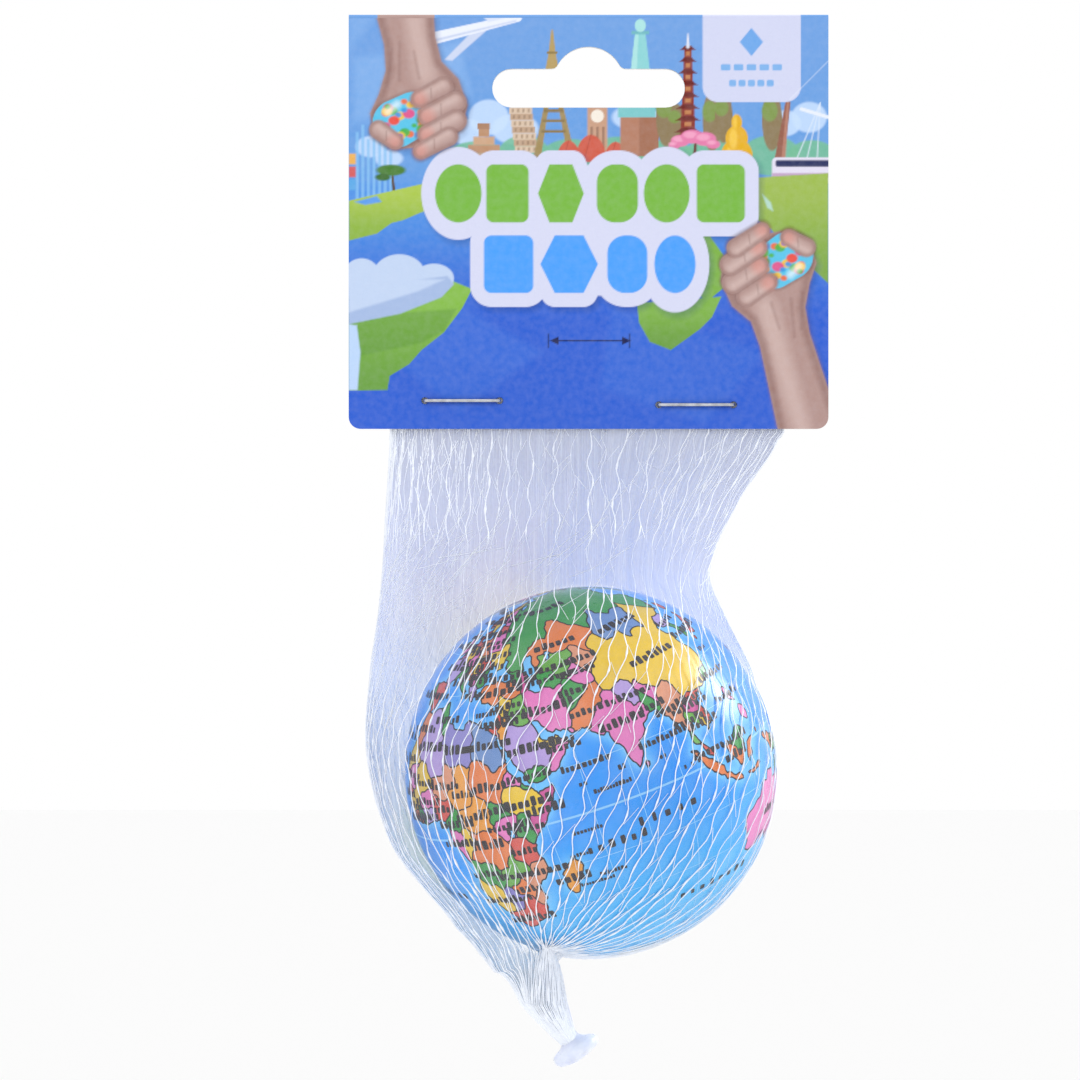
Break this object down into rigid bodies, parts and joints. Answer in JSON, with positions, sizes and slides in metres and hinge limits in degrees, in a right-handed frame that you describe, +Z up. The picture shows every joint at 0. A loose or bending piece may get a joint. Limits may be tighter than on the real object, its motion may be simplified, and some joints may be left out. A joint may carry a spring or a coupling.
{
  "type": "stress ball",
  "caption": "Soft foam stress ball printed as a globe, in a knitted net bag stapled into a folded header card with a euro slot to hang it from a peg.",
  "frame": {"origin": "top of the euro slot, midway between the card's two leaves, where a peg carries the item", "axes": "+Z up, +X to the right seen from the printed front, +Y from the front to the back"},
  "size_m": [0.0816, 0.0646, 0.1785],
  "materials": {
    "card_board": "coated board printed in full colour, satin",
    "staple_wire": "bright galvanised wire",
    "net_filament": "knitted clear white polyethylene filament, glossy",
    "button_plastic": "melted translucent white polyethylene",
    "ball_foam": "soft polyurethane foam, matt",
    "ball_skin": "smooth foam skin printed in full colour under a gloss varnish"
  },
  "bodies": {
    "card": {"header_card": "card_board", "staple_left": "staple_wire", "staple_right": "staple_wire", "net_header_band": "net_filament"},
    "neck": {"net_neck": "net_filament"},
    "pouch": {"net_pouch": "net_filament"},
    "ball": {"foam_core": "ball_foam", "skin_belt": "ball_skin"},
    "press_front": {"skin_front": "ball_skin"},
    "press_back": {"skin_back": "ball_skin"},
    "tail": {"net_tail": "net_filament", "end_button": "button_plastic"}
  },
  "joints": [
    {"name": "bag_swing", "type": "hinge", "parent": "card", "child": "neck", "pos_m": [0, 0, -0.0659], "axis": [1, 0, 0], "range_deg": [-80, 80], "deforming": ["net_neck"]},
    {"name": "ball_sway", "type": "hinge", "parent": "neck", "child": "pouch", "pos_m": [0.00015, 0, -0.077], "axis": [0, 1, 0], "range_deg": [-30, 30], "deforming": ["net_neck"]},
    {"name": "ball_turn", "type": "hinge", "parent": "pouch", "child": "ball", "pos_m": [0.00025, 0, -0.1233], "axis": [0, 1, 0], "continuous": true},
    {"name": "squeeze_front", "type": "slide", "parent": "ball", "child": "press_front", "axis": [0, 1, 0], "range_m": [0, 0.014], "stiffness_N_per_m": 400, "deforming": ["foam_core"]},
    {"name": "squeeze_back", "type": "slide", "parent": "ball", "child": "press_back", "axis": [0, -1, 0], "range_m": [0, 0.014], "stiffness_N_per_m": 400, "deforming": ["foam_core"]},
    {"name": "tail_swing", "type": "hinge", "parent": "pouch", "child": "tail", "pos_m": [-0.0072, -0.0062, -0.1636], "axis": [0, 1, 0], "range_deg": [-45, 45], "stiffness_Nm_per_rad": 0.0005}
  ],
  "couplings": [
    {"joint": "squeeze_back", "follows": "squeeze_front", "ratio": 1}
  ]
}
